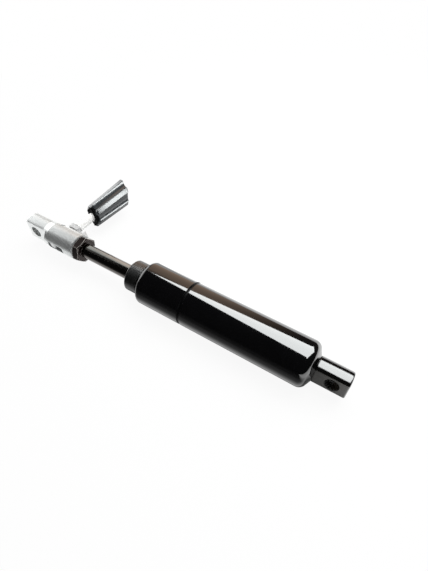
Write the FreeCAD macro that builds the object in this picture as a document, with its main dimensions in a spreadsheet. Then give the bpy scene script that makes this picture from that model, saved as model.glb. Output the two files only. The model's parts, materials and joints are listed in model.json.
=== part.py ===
"""Lockable gas spring with a tilting release lever, modelled lying on its side.

The origin is the centre of the rear eye's bore. +X runs from the release head to the rear eye, +Y points to
the lever's side and +Z is up. All sizes are millimetres and degrees.
"""
import FreeCAD, Part
import os
import Sketcher

# Driving dimensions: name, value, meaning
SIZES = [
    ("tube_diameter", 28.0, "outside of the pressure tube"),
    ("tube_wall", 2.0, "wall of the pressure tube"),
    ("tube_length", 114.6, "front lip to the rear eye's seat on the closed end"),
    ("tube_bottom", 4.8, "thickness of the closed end at the seat"),
    ("tube_crown", 25.0, "slope of the closed end from the seat to its rounding"),
    ("tube_lip", 2.0, "thickness of the rolled front lip"),
    ("tube_front_round", 2.8, "outer rounding of the front lip"),
    ("tube_rear_round", 5.0, "outer rounding of the closed end"),
    ("groove_place", 33.0, "front lip to the middle of the rolled groove"),
    ("groove_width", 1.7, "width of the rolled groove"),
    ("groove_depth", 0.6, "depth of the rolled groove"),
    ("eye_diameter", 15.2, "bar that the rear eye is made from"),
    ("eye_flats", 11.0, "thickness over the rear eye's flats"),
    ("eye_reach", 10.4, "closed end of the tube to the bore of the rear eye"),
    ("eye_end", 8.5, "bore of the rear eye to its end face"),
    ("eye_bore", 8.2, "bore of the rear eye"),
    ("eye_roll", 8.0, "roll of the rear eye about the spring's axis"),
    ("eye_edge", 0.9, "rounding of the rear eye's end"),
    ("eye_seat_edge", 0.25, "chamfer of the rear eye at the tube"),
    ("spigot_diameter", 8.0, "rivet spigot of the rear eye"),
    ("lip_width", 3.75, "width of the rolled lip's face, outside to the rod guide's nose"),
    ("collar_length", 10.9, "length of that nose outside the tube"),
    ("collar_edge", 0.7, "chamfer of the nose"),
    ("neck_width", 1.9, "width of the groove between the nose and the tube's lip"),
    ("neck_depth", 0.9, "depth of that groove"),
    ("guide_length", 12.8, "length of the rod guide inside the tube"),
    ("wiper_wall", 2.5, "rod to the wiper ring's seat"),
    ("wiper_length", 3.4, "length of the wiper ring"),
    ("bush_wall", 1.0, "wall of the bearing bush"),
    ("bush_length", 16.0, "length of the bearing bush"),
    ("guide_seal_width", 2.4, "width of the static ring's groove"),
    ("guide_seal_depth", 1.7, "depth of the static ring's groove"),
    ("rod_seal_length", 6.0, "length of the rod seal"),
    ("rod_seal_lip", 1.6, "wall of the rod seal's two lips"),
    ("rod_seal_notch", 2.6, "depth of the notch between the lips"),
    ("washer_thickness", 1.2, "washer behind the rod seal"),
    ("sleeve_wall", 3.4, "wall of the spacer sleeve"),
    ("stop_gap", 2.5, "tube's bore to the rubber ring that ends the outward stroke"),
    ("stop_length", 2.5, "length of that rubber ring"),
    ("stroke", 40.0, "travel of the rod"),
    ("end_gap", 1.1, "lock nut to collar at full stroke"),
    ("rod_diameter", 10.0, "piston rod"),
    ("pin_room", 0.5, "release pin to the rod's bore around it"),
    ("rod_edge", 0.6, "chamfer of the rod's ends"),
    ("valve_wall", 1.4, "wall of the rod's tail around the wider bore behind the valve"),
    ("valve_bore_length", 22.0, "length of that wider bore"),
    ("tail_step", 1.0, "shoulder from the rod to the tail that carries the piston"),
    ("thread_depth", 8.0, "rod's length inside the release head"),
    ("port_diameter", 1.6, "oil port through the rod's wall"),
    ("port_place", 6.0, "piston to the oil port"),
    ("pin_diameter", 3.0, "release pin"),
    ("pin_edge", 0.3, "chamfer of the release pin"),
    ("pin_gap", 0.3, "rocker's nose to the release pin at rest"),
    ("pin_seal_length", 2.6, "length of the release pin's seal"),
    ("piston_length", 8.0, "length of the piston"),
    ("piston_seal_width", 3.0, "width of the piston seal's groove"),
    ("piston_seal_depth", 2.2, "depth of the piston seal's groove"),
    ("band_width", 1.8, "width of the guide band's groove"),
    ("band_depth", 1.0, "depth of the guide band's groove"),
    ("piston_land", 1.0, "land between the piston's face and its first groove"),
    ("cap_gap", 3.0, "tube's bore to the valve cap"),
    ("cap_wall", 3.0, "wall of the valve cap"),
    ("cap_depth", 5.0, "inner depth of the valve cap"),
    ("cap_bottom", 1.3, "end wall of the valve cap"),
    ("cap_hole", 5.0, "oil hole in the valve cap"),
    ("poppet_diameter", 7.0, "head of the valve poppet"),
    ("poppet_thickness", 1.5, "thickness of that head"),
    ("poppet_stem", 1.9, "stem of the poppet inside the rod"),
    ("valve_seal_thickness", 0.9, "soft disc under the poppet"),
    ("valve_gap", 0.1, "soft disc to its seat"),
    ("gas_length", 19.3, "gas chamber with the rod out"),
    ("separator_length", 7.0, "length of the separating piston"),
    ("separator_wall", 3.4, "walls of the separating piston's cup"),
    ("separator_seal_width", 2.6, "width of its seal's groove"),
    ("separator_seal_depth", 1.9, "depth of its seal's groove"),
    ("nut_flats", 16.0, "width over the lock nut's flats"),
    ("nut_thickness", 5.0, "thickness of the lock nut"),
    ("nut_turn", 10.6, "turn of the lock nut about the axis"),
    ("nut_bevel", 0.2, "nut's flats to the round face left by its chamfer"),
    ("head_diameter", 18.0, "bar that the release head is made from"),
    ("head_body", 25.5, "round length of the release head"),
    ("head_edge", 0.5, "chamfer of the release head at the nut"),
    ("tongue_length", 19.7, "length of the tongue's flats"),
    ("tongue_thickness", 10.0, "thickness over the tongue's flats"),
    ("tongue_drop", 0.4, "release head's round to the round of the tongue's edges"),
    ("tongue_taper", 4.5, "length of the taper from the tongue's round to the body"),
    ("tongue_bore", 8.2, "bore of the tongue"),
    ("tongue_end", 7.2, "bore of the tongue to its end face"),
    ("tongue_edge", 0.8, "rounding of the tongue's end"),
    ("slot_place", 8.6, "release head's nut face to the cross slot"),
    ("slot_length", 13.6, "length of the cross slot"),
    ("slot_width", 4.8, "width of the cross slot"),
    ("slot_drop", 0.6, "middle of the cross slot below the spring's axis"),
    ("slot_round", 1.0, "corner radius of the cross slot"),
    ("pivot_diameter", 3.0, "pivot pin"),
    ("pivot_recess", 3.0, "release head's top to the pivot pin's end"),
    ("pivot_inset", 3.4, "far end of the slot to the pivot pin"),
    ("pivot_offset", 5.0, "spring's axis to the pivot pin"),
    ("pivot_wall", 1.1, "wall of the rocker about its pivot"),
    ("blade_clearance", 0.3, "rocker's blade to each side of the slot"),
    ("nose_radius", 2.0, "nose of the rocker"),
    ("nose_along", 3.3, "pivot to the nose's centre, along the spring"),
    ("nose_down", 6.0, "pivot to the nose's centre, across the spring"),
    ("nose_lean", 250.0, "direction in which the blade's edge meets the nose"),
    ("heel_radius", 0.9, "corners of the rocker's heel in the slot's mouth"),
    ("heel_down", 13.2, "pivot to the heel's end, across the spring"),
    ("heel_back", 2.5, "pivot to the heel's far side"),
    ("heel_front", 2.5, "pivot to the heel's near side"),
    ("nose_relief", 0.5, "blade's edge behind the nose"),
    ("nose_run", 3.0, "nose's centre to the end of that relief"),
    ("blade_shoulder", 6.4, "pivot to the blade's front edge above the relief"),
    ("blade_back", 1.4, "pivot to the blade's back edge under the block"),
    ("rocker_gap", 0.8, "release head to the rocker's base"),
    ("rocker_depth", 3.6, "rocker's base to the back of its block"),
    ("rocker_height", 6.0, "height of the rocker's block"),
    ("block_far", 4.1, "lever's axis to the far side of the block"),
    ("block_near", 3.4, "lever's axis to the near side of the block"),
    ("block_corner", 0.7, "bevel of the block's back corners"),
    ("arm_depth", 1.0, "rocker's base to the back of its arm"),
    ("toe_start", 7.9, "lever's axis to the toe at the arm's end"),
    ("toe_length", 4.9, "length of the toe"),
    ("toe_rise", 3.5, "rocker's base to the toe's highest edge"),
    ("toe_tip", 0.9, "rocker's base to the toe's lowest edge"),
    ("lever_offset", 2.8, "pivot pin to the lever's axis"),
    ("lever_tilt", 1.8, "lean of the resting lever towards the tube"),
    ("lever_diameter", 6.0, "lever rod"),
    ("lever_step", 1.0, "shoulder from the lever rod to its spigot in the rocker"),
    ("lever_spigot_depth", 2.7, "length of that spigot below the collar ring"),
    ("lever_edge", 0.4, "chamfer of the lever rod"),
    ("ring_step", 0.4, "lever rod to the outside of the collar ring below it"),
    ("ring_length", 2.2, "length of the collar ring"),
    ("grip_start", 29.4, "spring's axis to the grip"),
    ("grip_length", 31.9, "length of the grip along its middle"),
    ("grip_near_slant", 12.0, "lean of the grip's near end"),
    ("grip_near_radius", 7.9, "grip's lobes at the near end"),
    ("grip_near_crest", 9.0, "half angle of a lobe's crest at the near end"),
    ("grip_near_edge", 1.0, "rounding of the crest's edges at the near end"),
    ("grip_near_wall", 2.1, "lever rod to the bottom of the flutes at the near end"),
    ("grip_far_slant", 26.0, "lean of the grip's far end"),
    ("grip_far_radius", 9.3, "grip's lobes at the far end"),
    ("grip_far_crest", 8.0, "half angle of a lobe's crest at the far end"),
    ("grip_far_edge", 1.5, "rounding of the crest's edges at the far end"),
    ("grip_far_wall", 3.3, "lever rod to the bottom of the flutes at the far end"),
    ("grip_bore_depth", 26.0, "lever rod's length inside the grip"),
    ("grip_turn", 45.0, "turn of the grip's lobes about the lever"),
    ("fixed_fit", 0.02, "radial play of pieces that don't move against each other"),
    ("running_fit", 0.05, "radial play of pieces that slide or turn"),
    ("piston_fit", 0.1, "radial play of the pistons in the tube"),
]
LOBES = 6
HEXAGON = 6

doc = FreeCAD.newDocument("LockableGasSpring")
sheet = doc.addObject("Spreadsheet::Sheet", "Sizes")


class Size:
    """A number that keeps the spreadsheet formula it comes from."""

    def __init__(self, formula, value):
        self.formula = formula
        self.value = value

    def joined(self, sign, other, value):
        return Size(f"({self.formula} {sign} {other.formula})", value)

    def __add__(self, other):
        other = as_size(other)
        return self.joined("+", other, self.value + other.value)

    def __sub__(self, other):
        other = as_size(other)
        return self.joined("-", other, self.value - other.value)

    def __mul__(self, other):
        other = as_size(other)
        return self.joined("*", other, self.value * other.value)

    def __truediv__(self, other):
        other = as_size(other)
        return self.joined("/", other, self.value / other.value)

    def __neg__(self):
        return Size(f"(-1 * {self.formula})", -self.value)


def as_size(number):
    """Take a plain number as a size too."""
    if isinstance(number, Size):
        return number
    return Size(f"({float(number)})", float(number))


def cosine(angle):
    """Cosine of a size in degrees."""
    turn = FreeCAD.Rotation(FreeCAD.Vector(0, 0, 1), angle.value)
    return Size(f"cos({angle.formula})", turn.multVec(FreeCAD.Vector(1, 0, 0)).x)


def sine(angle):
    """Sine of a size in degrees."""
    turn = FreeCAD.Rotation(FreeCAD.Vector(0, 0, 1), angle.value)
    return Size(f"sin({angle.formula})", turn.multVec(FreeCAD.Vector(1, 0, 0)).y)


def slope(angle):
    """Rise over run of a size in degrees."""
    return sine(angle) / cosine(angle)


def fill_sheet():
    """Write the driving dimensions to the spreadsheet and hand them out by name."""
    named = {}
    for row, (name, value, meaning) in enumerate(SIZES, start=1):
        sheet.set(f"A{row}", meaning)
        sheet.set(f"B{row}", str(value))
        sheet.setAlias(f"B{row}", name)
        named[name] = Size(f"Sizes.{name}", value)
    doc.recompute()
    return named


size = fill_sheet()

# Radii that several pieces share
tube_r = size["tube_diameter"] / 2
bore_r = tube_r - size["tube_wall"]
packed_r = bore_r - size["fixed_fit"]
sliding_r = bore_r - size["piston_fit"]
ring_r = bore_r - size["running_fit"]
collar_r = tube_r - size["lip_width"]
neck_r = collar_r - size["neck_depth"]
rod_r = size["rod_diameter"] / 2
rod_hole_r = rod_r + size["running_fit"]
rod_seat_r = rod_r + size["fixed_fit"]
tail_r = rod_r - size["tail_step"]
valve_bore_r = tail_r - size["valve_wall"]
pin_r = size["pin_diameter"] / 2
pin_hole_r = pin_r + size["pin_room"]
eye_r = size["eye_diameter"] / 2
head_r = size["head_diameter"] / 2
pivot_r = size["pivot_diameter"] / 2
lever_r = size["lever_diameter"] / 2
lever_spigot_r = lever_r - size["lever_step"]
lever_ring_r = lever_r + size["ring_step"]

# Stations along the spring's axis, from the rear eye to the head
tube_rear = -size["eye_reach"]
tube_front = tube_rear - size["tube_length"]
collar_front = tube_front - size["collar_length"]
nut_rear = collar_front - size["stroke"] - size["end_gap"]
head_rear = nut_rear - size["nut_thickness"]
head_step = head_rear - size["head_body"]
head_end = head_step - size["tongue_length"]
rod_front = head_rear - size["thread_depth"]
slot_near = head_rear - size["slot_place"]
slot_far = slot_near - size["slot_length"]
pivot_x = slot_far + size["pivot_inset"]
guide_rear = tube_front + size["tube_lip"] + size["guide_length"]
seal_rear = guide_rear + size["rod_seal_length"]
washer_rear = seal_rear + size["washer_thickness"]
bead_front = tube_front + size["groove_place"] - size["groove_width"] / 2
piston_front = bead_front + size["stop_length"] + size["pin_gap"]
piston_rear = piston_front + size["piston_length"]
valve_disc = piston_rear + size["valve_gap"]
poppet_front = valve_disc + size["valve_seal_thickness"]
separator_front = tube_rear - size["tube_bottom"] - size["gas_length"] - size["separator_length"]

# The lever's own frame: origin on the lever's axis beside the pivot, +Y along the lever
lean_along = cosine(size["lever_tilt"])
lean_across = sine(size["lever_tilt"])
lever_x = pivot_x + size["lever_offset"] * lean_along
lever_y = size["pivot_offset"] - size["lever_offset"] * lean_across
nose_x = pivot_x + size["nose_along"] * lean_along - size["nose_down"] * lean_across
pin_front = nose_x + size["nose_radius"] + size["pin_gap"]
rocker_base = head_r + size["rocker_gap"] - size["pivot_offset"]
ring_base = rocker_base + size["rocker_depth"]
ring_end = ring_base + size["ring_length"]
grip_base = size["grip_start"] - size["pivot_offset"]

# Places of points on sketch geometry
ORIGIN = -1
START = 1
END = 2
CENTRE = 3


def new_body(label, x=0, y=0):
    """A body with its own label, placed by formulas."""
    body = doc.addObject("PartDesign::Body", label)
    body.Label = label
    body.setExpression("Placement.Base.x", as_size(x).formula)
    body.setExpression("Placement.Base.y", as_size(y).formula)
    return body


def lever_body(label):
    """A body in the lever's leaning frame."""
    body = new_body(label, lever_x, lever_y)
    body.Placement.Rotation = FreeCAD.Rotation(FreeCAD.Vector(0, 0, 1), 1)
    body.setExpression("Placement.Rotation.Angle", (-size["lever_tilt"]).formula)
    return body


def new_sketch(body, name, plane):
    """A sketch on one of the body's own origin planes."""
    sketch = body.newObject("Sketcher::SketchObject", f"{body.Label}_{name}")
    support = next(item for item in body.Origin.OriginFeatures if item.Role == plane)
    sketch.AttachmentSupport = [(support, "")]
    sketch.MapMode = "FlatFace"
    return sketch


def tie(sketch, kind, geometry, point, length):
    """Tie one coordinate of a point to its formula."""
    length = as_size(length)
    rule = Sketcher.Constraint(kind, ORIGIN, START, geometry, point, length.value)
    sketch.setExpression(f"Constraints[{sketch.addConstraint(rule)}]", length.formula)


def draw_outline(sketch, corners):
    """Close a loop through (x, y) corners.

    A corner given as (x, y, centre x, centre y, turn) starts an arc about that centre to the next corner,
    anticlockwise where turn is 1 and clockwise where it is -1.
    """
    loop = []
    spots = [FreeCAD.Vector(as_size(c[0]).value, as_size(c[1]).value, 0) for c in corners]
    for number, corner in enumerate(corners):
        here = spots[number]
        there = spots[(number + 1) % len(corners)]
        if len(corner) == 2:
            loop.append((sketch.addGeometry(Part.LineSegment(here, there)), START, END))
            continue
        centre = FreeCAD.Vector(as_size(corner[2]).value, as_size(corner[3]).value, 0)
        first, last = (here, there) if corner[4] > 0 else (there, here)
        circle = Part.Circle(centre, FreeCAD.Vector(0, 0, 1), (here - centre).Length)
        arc = Part.ArcOfCircle(circle, circle.parameter(first), circle.parameter(last))
        ends = (START, END) if corner[4] > 0 else (END, START)
        loop.append((sketch.addGeometry(arc), *ends))
    for number, corner in enumerate(corners):
        geometry, first, last = loop[number]
        following, next_first, _ = loop[(number + 1) % len(corners)]
        sketch.addConstraint(Sketcher.Constraint("Coincident", geometry, last, following, next_first))
        tie(sketch, "DistanceX", geometry, first, corner[0])
        tie(sketch, "DistanceY", geometry, first, corner[1])
        if len(corner) > 2:
            chord = spots[(number + 1) % len(corners)] - spots[number]
            if abs(chord.y) > abs(chord.x):
                tie(sketch, "DistanceX", geometry, CENTRE, corner[2])
            else:
                tie(sketch, "DistanceY", geometry, CENTRE, corner[3])


def draw_circle(sketch, x, y, radius):
    """A full circle tied to its centre and radius."""
    spot = FreeCAD.Vector(as_size(x).value, as_size(y).value, 0)
    geometry = sketch.addGeometry(Part.Circle(spot, FreeCAD.Vector(0, 0, 1), radius.value))
    tie(sketch, "DistanceX", geometry, CENTRE, x)
    tie(sketch, "DistanceY", geometry, CENTRE, y)
    rule = sketch.addConstraint(Sketcher.Constraint("Radius", geometry, radius.value))
    sketch.setExpression(f"Constraints[{rule}]", radius.formula)


def spin(body, kind, name, outline, axis="H_Axis"):
    """Add or cut a turned form: the outline is drawn in the XY plane and turned about one of its axes."""
    sketch = new_sketch(body, f"{name}_outline", "XY_Plane")
    draw_outline(sketch, outline)
    turned = body.newObject(f"PartDesign::{kind}", f"{body.Label}_{name}")
    turned.Profile = sketch
    turned.ReferenceAxis = (sketch, [axis])
    turned.Angle = 360
    body.Tip = turned
    doc.recompute()
    return turned


def turned_piece(label, x, outline):
    """A turned piece about the spring's axis, its outline given from the station x."""
    body = new_body(label, x)
    spin(body, "Revolution", "turning", outline)
    return body


def ring_piece(label, x, length, inner, outer):
    """A plain ring about the spring's axis."""
    return turned_piece(label, x, [(0, inner), (length, inner), (length, outer), (0, outer)])


def cut_through(body, name, sketch):
    """Cut a sketch right through the body, both ways from its plane."""
    doc.recompute()
    before = body.Shape.Volume
    pocket = body.newObject("PartDesign::Pocket", f"{body.Label}_{name}")
    pocket.Profile = sketch
    pocket.SideType = "Symmetric"
    pocket.Type = "ThroughAll"
    body.Tip = pocket
    doc.recompute()
    if not body.Shape.Volume < before:
        raise RuntimeError(f"{body.Label}: {name} cuts nothing")
    return pocket


def cut_hole(body, name, plane, x, y, radius):
    """Drill a round hole right through the body."""
    sketch = new_sketch(body, f"{name}_circle", plane)
    draw_circle(sketch, x, y, radius)
    return cut_through(body, name, sketch)


def cut_flats(body, name, first, last, half, reach):
    """Mill two flats square to Y, from one station to the other."""
    sketch = new_sketch(body, f"{name}_sides", "XY_Plane")
    draw_outline(sketch, [(first, half), (last, half), (last, reach), (first, reach)])
    draw_outline(sketch, [(first, -half), (first, -reach), (last, -reach), (last, -half)])
    return cut_through(body, name, sketch)


def round_edges(body, name, radius, wanted):
    """Round the edges of the body's last feature that the test picks out."""
    base = body.Tip
    picked = [f"Edge{n}" for n, edge in enumerate(base.Shape.Edges, start=1) if wanted(edge)]
    if not picked:
        raise RuntimeError(f"{body.Label}: no edge for {name}")
    fillet = body.newObject("PartDesign::Fillet", f"{body.Label}_{name}")
    fillet.Base = (base, picked)
    fillet.setExpression("Radius", radius.formula)
    body.Tip = fillet
    doc.recompute()
    return fillet


def at_station(x):
    """A test for edges that lie in the plane across the axis at x."""
    near = as_size(x).value
    slack = 1e-4

    def lies_there(edge):
        return abs(edge.BoundBox.XMin - near) < slack and abs(edge.BoundBox.XMax - near) < slack
    return lies_there


def ring_edge(x, radius):
    """A test for the full circle of that radius at x."""
    there = at_station(x)

    def is_ring(edge):
        return there(edge) and abs(edge.BoundBox.ZMax - as_size(radius).value) < 1e-3
    return is_ring


def make_tube():
    """Tube with a rolled lip, a rolled groove that stands inwards as a bead, and a crowned closed end."""
    length = size["tube_length"]
    inner_end = length - size["tube_bottom"]
    shoulder = length - (tube_r - eye_r) * slope(size["tube_crown"])
    hole_r = size["spigot_diameter"] / 2 + size["fixed_fit"]
    lip_r = neck_r + size["fixed_fit"]
    middle = size["groove_place"]
    wide = size["groove_width"] / 2
    narrow = size["groove_width"] / 4
    depth = size["groove_depth"]
    outer_groove = [(middle - wide, tube_r), (middle - narrow, tube_r - depth),
                    (middle + narrow, tube_r - depth), (middle + wide, tube_r)]
    inner_bead = [(middle + wide, bore_r), (middle + narrow, bore_r - depth),
                  (middle - narrow, bore_r - depth), (middle - wide, bore_r)]
    outline = [(0, lip_r), (0, tube_r)] + outer_groove
    outline += [(shoulder, tube_r), (length, eye_r), (length, hole_r)]
    outline += [(inner_end, hole_r), (inner_end, bore_r)] + inner_bead
    outline += [(size["tube_lip"], bore_r), (size["tube_lip"], lip_r)]
    tube = turned_piece("pressure_tube", tube_front, outline)
    round_edges(tube, "front_round", size["tube_front_round"], ring_edge(0, tube_r))
    round_edges(tube, "rear_round", size["tube_rear_round"], ring_edge(shoulder, tube_r))
    return tube


def make_eye():
    """Rear eye: bar with two flats, a cross bore and a spigot through the closed end."""
    spigot_r = size["spigot_diameter"] / 2
    start = tube_rear - size["tube_bottom"]
    end = size["eye_end"]
    edge = size["eye_seat_edge"]
    body = new_body("rear_eye")
    body.Placement.Rotation = FreeCAD.Rotation(FreeCAD.Vector(1, 0, 0), 1)
    body.setExpression("Placement.Rotation.Angle", (-size["eye_roll"]).formula)
    spin(body, "Revolution", "turning", [
        (start, 0), (start, spigot_r), (tube_rear, spigot_r), (tube_rear, eye_r - edge),
        (tube_rear + edge, eye_r), (end, eye_r), (end, 0)])
    cut_flats(body, "flats", tube_rear, end, size["eye_flats"] / 2, eye_r)
    cut_hole(body, "bore", "XZ_Plane", 0, 0, size["eye_bore"] / 2)
    round_edges(body, "end_round", size["eye_edge"], at_station(end))
    return body


def make_guide():
    """Rod guide: a nose that shows in front of the tube, a neck under the lip and a flange behind it."""
    nose = size["collar_length"] + size["tube_lip"]
    neck = size["collar_length"] - size["neck_width"]
    length = nose + size["guide_length"]
    wiper_r = rod_r + size["wiper_wall"]
    bush_r = rod_r + size["bush_wall"]
    bush_start = length - size["bush_length"]
    edge = size["collar_edge"]
    groove = nose + size["guide_length"] / 2
    half = size["guide_seal_width"] / 2
    floor = packed_r - size["guide_seal_depth"]
    free_r = rod_hole_r + size["piston_fit"]
    turned_piece("front_guide", collar_front, [
        (0, wiper_r), (0, collar_r - edge), (edge, collar_r), (neck, collar_r), (neck, neck_r),
        (nose, neck_r), (nose, packed_r), (groove - half, packed_r), (groove - half, floor),
        (groove + half, floor), (groove + half, packed_r), (length, packed_r), (length, bush_r),
        (bush_start, bush_r), (bush_start, free_r), (size["wiper_length"], free_r),
        (size["wiper_length"], wiper_r)])
    ring_piece("guide_seal", collar_front + groove - half + size["fixed_fit"],
               size["guide_seal_width"] - size["fixed_fit"] * 2, floor + size["fixed_fit"], packed_r)
    ring_piece("rod_bush", collar_front + bush_start, size["bush_length"], rod_hole_r,
               bush_r - size["fixed_fit"])
    lip = size["collar_edge"]
    turned_piece("wiper_ring", collar_front, [
        (0, rod_hole_r), (0, rod_hole_r + lip), (lip, wiper_r - lip), (lip, wiper_r - size["fixed_fit"]),
        (size["wiper_length"], wiper_r - size["fixed_fit"]), (size["wiper_length"], rod_hole_r)])


def make_seal_pack():
    """Lip seal, its washer and the sleeve that the rolled bead keeps in place."""
    length = size["rod_seal_length"]
    notch = length - size["rod_seal_notch"]
    inner_lip = rod_hole_r + size["rod_seal_lip"]
    outer_lip = packed_r - size["rod_seal_lip"]
    middle = (inner_lip + outer_lip) / 2
    turned_piece("rod_seal", guide_rear, [
        (0, rod_hole_r), (length, rod_hole_r), (length, inner_lip), (notch, middle),
        (length, outer_lip), (length, packed_r), (0, packed_r)])
    ring_piece("seal_washer", seal_rear, size["washer_thickness"], rod_hole_r + size["piston_fit"], packed_r)
    ring_piece("spacer_sleeve", washer_rear, bead_front - washer_rear, packed_r - size["sleeve_wall"],
               packed_r)


def make_rod():
    """Hollow rod with a tail for the piston, an oil port and a wider bore behind the valve."""
    main = piston_front - rod_front
    length = main + size["piston_length"]
    edge = size["rod_edge"]
    wide_start = length - size["valve_bore_length"]
    rod = turned_piece("piston_rod", rod_front, [
        (0, pin_hole_r), (0, rod_r - edge), (edge, rod_r), (main, rod_r), (main, tail_r), (length, tail_r),
        (length, valve_bore_r), (wide_start, valve_bore_r), (wide_start, pin_hole_r)])
    cut_hole(rod, "oil_port", "XZ_Plane", main - size["port_place"], 0, size["port_diameter"] / 2)
    ring_piece("pin_seal", rod_front + wide_start, size["pin_seal_length"], pin_r + size["running_fit"],
               valve_bore_r - size["fixed_fit"])
    ring_piece("stop_ring", piston_front - size["stop_length"], size["stop_length"], rod_seat_r,
               bore_r - size["stop_gap"])


def make_piston():
    """Piston on the rod's tail with its two rings and the valve cap."""
    length = size["piston_length"]
    land = size["piston_land"]
    band_end = land + size["band_width"]
    seal_end = length - land
    seal_start = seal_end - size["piston_seal_width"]
    band_floor = sliding_r - size["band_depth"]
    seal_floor = sliding_r - size["piston_seal_depth"]
    play = size["running_fit"]
    turned_piece("piston", piston_front, [
        (0, tail_r + size["fixed_fit"]), (0, sliding_r), (land, sliding_r), (land, band_floor),
        (band_end, band_floor), (band_end, sliding_r), (seal_start, sliding_r), (seal_start, seal_floor),
        (seal_end, seal_floor), (seal_end, sliding_r), (length, sliding_r),
        (length, tail_r + size["fixed_fit"])])
    ring_piece("piston_band", piston_front + land + play, size["band_width"] - play * 2,
               band_floor + play, ring_r)
    ring_piece("piston_seal", piston_front + seal_start + play, size["piston_seal_width"] - play * 2,
               seal_floor + play, ring_r)
    depth = size["cap_depth"]
    outer = bore_r - size["cap_gap"]
    inner = outer - size["cap_wall"]
    end = depth + size["cap_bottom"]
    turned_piece("valve_cap", piston_rear, [
        (0, inner), (0, outer), (end, outer), (end, size["cap_hole"] / 2), (depth, size["cap_hole"] / 2),
        (depth, inner)])


def make_valve():
    """Release pin, poppet and the soft disc that closes the rod's bore."""
    edge = size["pin_edge"]
    stem = size["poppet_stem"]
    stem_front = poppet_front - stem
    length = stem_front - pin_front
    turned_piece("release_pin", pin_front, [
        (0, 0), (0, pin_r - edge), (edge, pin_r), (length, pin_r), (length, 0)])
    head_end_place = stem + size["poppet_thickness"]
    poppet_r = size["poppet_diameter"] / 2
    turned_piece("valve_poppet", stem_front, [
        (0, 0), (0, pin_r), (stem, pin_r), (stem, poppet_r), (head_end_place, poppet_r), (head_end_place, 0)])
    ring_piece("valve_seal", valve_disc, size["valve_seal_thickness"], pin_r + size["fixed_fit"],
               poppet_r - size["fixed_fit"])


def make_separator():
    """Floating cup between the oil and the gas, with its ring."""
    length = size["separator_length"]
    wall = size["separator_wall"]
    middle = length / 2
    half = size["separator_seal_width"] / 2
    floor = sliding_r - size["separator_seal_depth"]
    play = size["fixed_fit"]
    turned_piece("separating_piston", separator_front, [
        (0, 0), (0, sliding_r), (middle - half, sliding_r), (middle - half, floor), (middle + half, floor),
        (middle + half, sliding_r), (length, sliding_r), (length, sliding_r - wall),
        (wall, sliding_r - wall), (wall, 0)])
    ring_piece("separator_seal", separator_front + middle - half + play,
               size["separator_seal_width"] - play * 2, floor + play, ring_r)


def make_nut():
    """Hexagon lock nut with chamfered corners."""
    thickness = size["nut_thickness"]
    corner_r = size["nut_flats"] / 2 / cosine(as_size(180 / HEXAGON))
    face_r = size["nut_flats"] / 2 - size["nut_bevel"]
    body = new_body("lock_nut", head_rear)
    sketch = new_sketch(body, "hexagon", "YZ_Plane")
    turns = [size["nut_turn"] + 360 / HEXAGON * number for number in range(HEXAGON)]
    draw_outline(sketch, [(corner_r * cosine(turn), corner_r * sine(turn)) for turn in turns])
    pad = body.newObject("PartDesign::Pad", "lock_nut_pad")
    pad.Profile = sketch
    pad.setExpression("Length", thickness.formula)
    body.Tip = pad
    doc.recompute()
    cut_hole(body, "bore", "YZ_Plane", 0, 0, rod_seat_r)
    reach = corner_r + 1
    run = (reach - face_r) * slope(as_size(30))
    spin(body, "Groove", "front_chamfer", [(0, face_r), (run, reach), (0, reach)])
    spin(body, "Groove", "rear_chamfer", [
        (thickness, face_r), (thickness, reach), (thickness - run, reach)])
    return body


def make_head():
    """Release head: turned bar with a flat tongue, its bore, the cross slot and the pivot hole."""
    tongue = size["tongue_length"]
    length = tongue + size["head_body"]
    tongue_r = head_r - size["tongue_drop"]
    taper = size["tongue_taper"] / 2
    seat = length - size["thread_depth"]
    edge = size["head_edge"]
    near = slot_near - head_end
    far = slot_far - head_end
    body = new_body("release_head", head_end)
    spin(body, "Revolution", "turning", [
        (0, 0), (0, tongue_r), (tongue - taper, tongue_r), (tongue + taper, head_r), (length - edge, head_r),
        (length, head_r - edge), (length, rod_seat_r), (seat, rod_seat_r), (seat, pin_hole_r),
        (near - size["slot_round"], pin_hole_r), (near - size["slot_round"], 0)])
    cut_flats(body, "flats", 0, tongue, size["tongue_thickness"] / 2, head_r)
    cut_hole(body, "bore", "XZ_Plane", size["tongue_end"], 0, size["tongue_bore"] / 2)
    high = size["slot_width"] / 2 - size["slot_drop"]
    low = -size["slot_width"] / 2 - size["slot_drop"]
    corner = size["slot_round"]
    slot = new_sketch(body, "slot_outline", "XZ_Plane")
    draw_outline(slot, [
        (far + corner, low), (near - corner, low, near - corner, low + corner, 1),
        (near, low + corner), (near, high - corner, near - corner, high - corner, 1),
        (near - corner, high), (far + corner, high, far + corner, high - corner, 1),
        (far, high - corner), (far, low + corner, far + corner, low + corner, 1)])
    cut_through(body, "slot", slot)
    cut_hole(body, "pivot_hole", "XY_Plane", pivot_x - head_end, size["pivot_offset"],
             pivot_r + size["fixed_fit"])
    round_edges(body, "end_round", size["tongue_edge"], at_station(0))
    return body


def make_pivot():
    """Pivot pin across the slot."""
    body = new_body("pivot_pin", pivot_x, size["pivot_offset"])
    sketch = new_sketch(body, "circle", "XY_Plane")
    draw_circle(sketch, 0, 0, pivot_r)
    pad_both_ways(body, "pad", sketch, (head_r - size["pivot_recess"]) * 2)
    return body


def pad_both_ways(body, name, sketch, thickness):
    """Thicken a sketch evenly to both sides of its plane."""
    pad = body.newObject("PartDesign::Pad", f"{body.Label}_{name}")
    pad.Profile = sketch
    pad.SideType = "Symmetric"
    pad.setExpression("Length", thickness.formula)
    body.Tip = pad
    doc.recompute()
    return pad


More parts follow.
